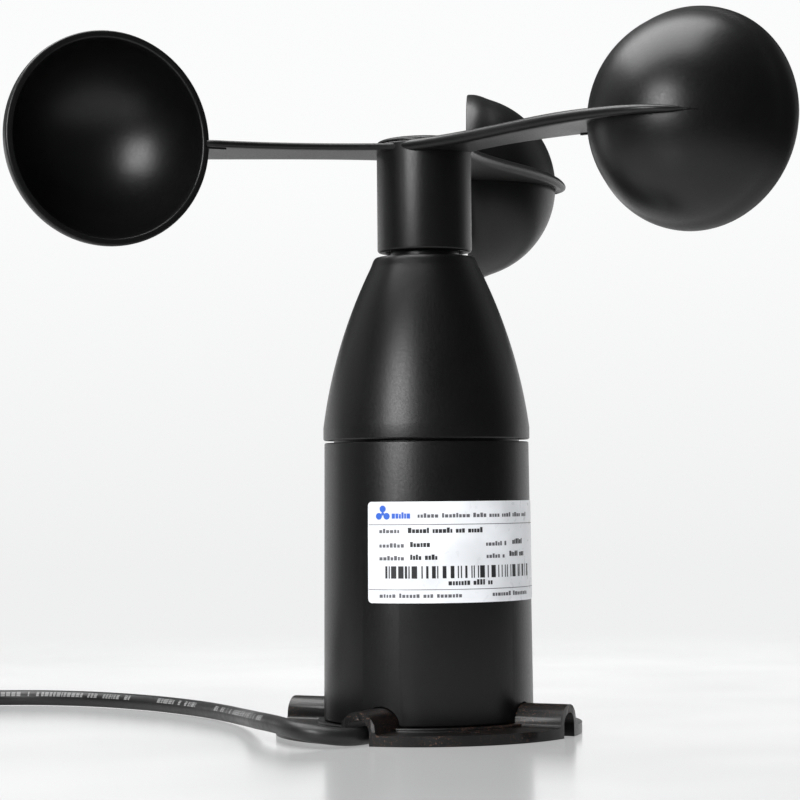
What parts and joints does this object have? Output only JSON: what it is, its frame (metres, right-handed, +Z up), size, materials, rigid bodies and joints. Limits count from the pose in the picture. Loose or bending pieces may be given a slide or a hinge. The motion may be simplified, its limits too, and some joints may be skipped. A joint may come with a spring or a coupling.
{
  "type": "cup anemometer",
  "caption": "Three-cup wind speed sensor with a satin black ogive nose, round cable-entry base and a free cable.",
  "frame": {"origin": "centre of the base's underside, on the rotor axis", "axes": "+Z up along the rotor axis, -Y towards the tunnel that the cable leaves by"},
  "size_m": [0.2926, 0.1787, 0.1681],
  "materials": {
    "black_paint": "satin",
    "steel": "satin",
    "aluminium": "satin",
    "brass": "satin",
    "rubber": "matte",
    "black_plastic": "matte",
    "board_green": "gloss",
    "chip_black": "matte",
    "header_white": "matte",
    "magnet": "satin",
    "label_white": "gloss",
    "cable_black": "satin",
    "lead_brown": "gloss",
    "lead_black": "gloss",
    "lead_yellow": "gloss",
    "lead_blue": "gloss",
    "nylon": "matte"
  },
  "bodies": {
    "base": {"base_flange": "black_paint", "base_screw_1": "steel", "base_screw_2": "steel", "base_screw_3": "steel", "base_screw_4": "steel", "base_seal": "rubber", "bearing_sleeve": "aluminium", "board_screw_1": "steel", "board_screw_2": "steel", "board_screw_3": "steel", "bus_transceiver": "chip_black", "cable": "cable_black", "cable_coil": "cable_black", "cable_cores": "lead_yellow", "cable_grommet": "rubber", "cable_inner": "cable_black", "cable_tail": "cable_black", "controller_chip": "chip_black", "dust_seal": "rubber", "filter_capacitor": "aluminium", "hall_sensor": "chip_black", "lead_black": "lead_black", "lead_blue": "lead_blue", "lead_brown": "lead_brown", "lead_yellow": "lead_yellow", "lower_circlip": "steel", "lower_housing": "black_paint", "lower_outer_race": "steel", "nose_cone": "black_paint", "nose_seal": "rubber", "rating_label": "label_white", "sensor_board": "board_green", "strain_tie": "nylon", "upper_circlip": "steel", "upper_outer_race": "steel", "voltage_regulator": "chip_black", "wire_header": "header_white"},
    "rotor": {"rotor_hub": "black_paint", "hub_cap": "black_paint", "cup_1": "black_paint", "cup_2": "black_paint", "cup_3": "black_paint", "hub_washer": "steel", "hub_nut": "steel", "rotor_shaft": "steel", "upper_inner_race": "steel", "lower_inner_race": "steel", "inner_race_spacer": "brass", "shaft_clip": "steel", "magnet_holder": "black_plastic", "ring_magnet": "magnet"},
    "upper_balls": {"upper_ball_cage": "brass"},
    "lower_balls": {"lower_ball_cage": "brass"}
  },
  "joints": [
    {"name": "rotor_spin", "type": "hinge", "parent": "base", "child": "rotor", "pos_m": [0, 0, 0.11], "axis": [0, 0, 1], "continuous": true},
    {"name": "upper_ball_roll", "type": "hinge", "parent": "base", "child": "upper_balls", "pos_m": [0, 0, 0.1072], "axis": [0, 0, 1], "continuous": true},
    {"name": "lower_ball_roll", "type": "hinge", "parent": "base", "child": "lower_balls", "pos_m": [0, 0, 0.0868], "axis": [0, 0, 1], "continuous": true}
  ],
  "couplings": [
    {"joint": "upper_ball_roll", "follows": "rotor_spin", "ratio": 0.4076},
    {"joint": "lower_ball_roll", "follows": "rotor_spin", "ratio": 0.4076}
  ]
}
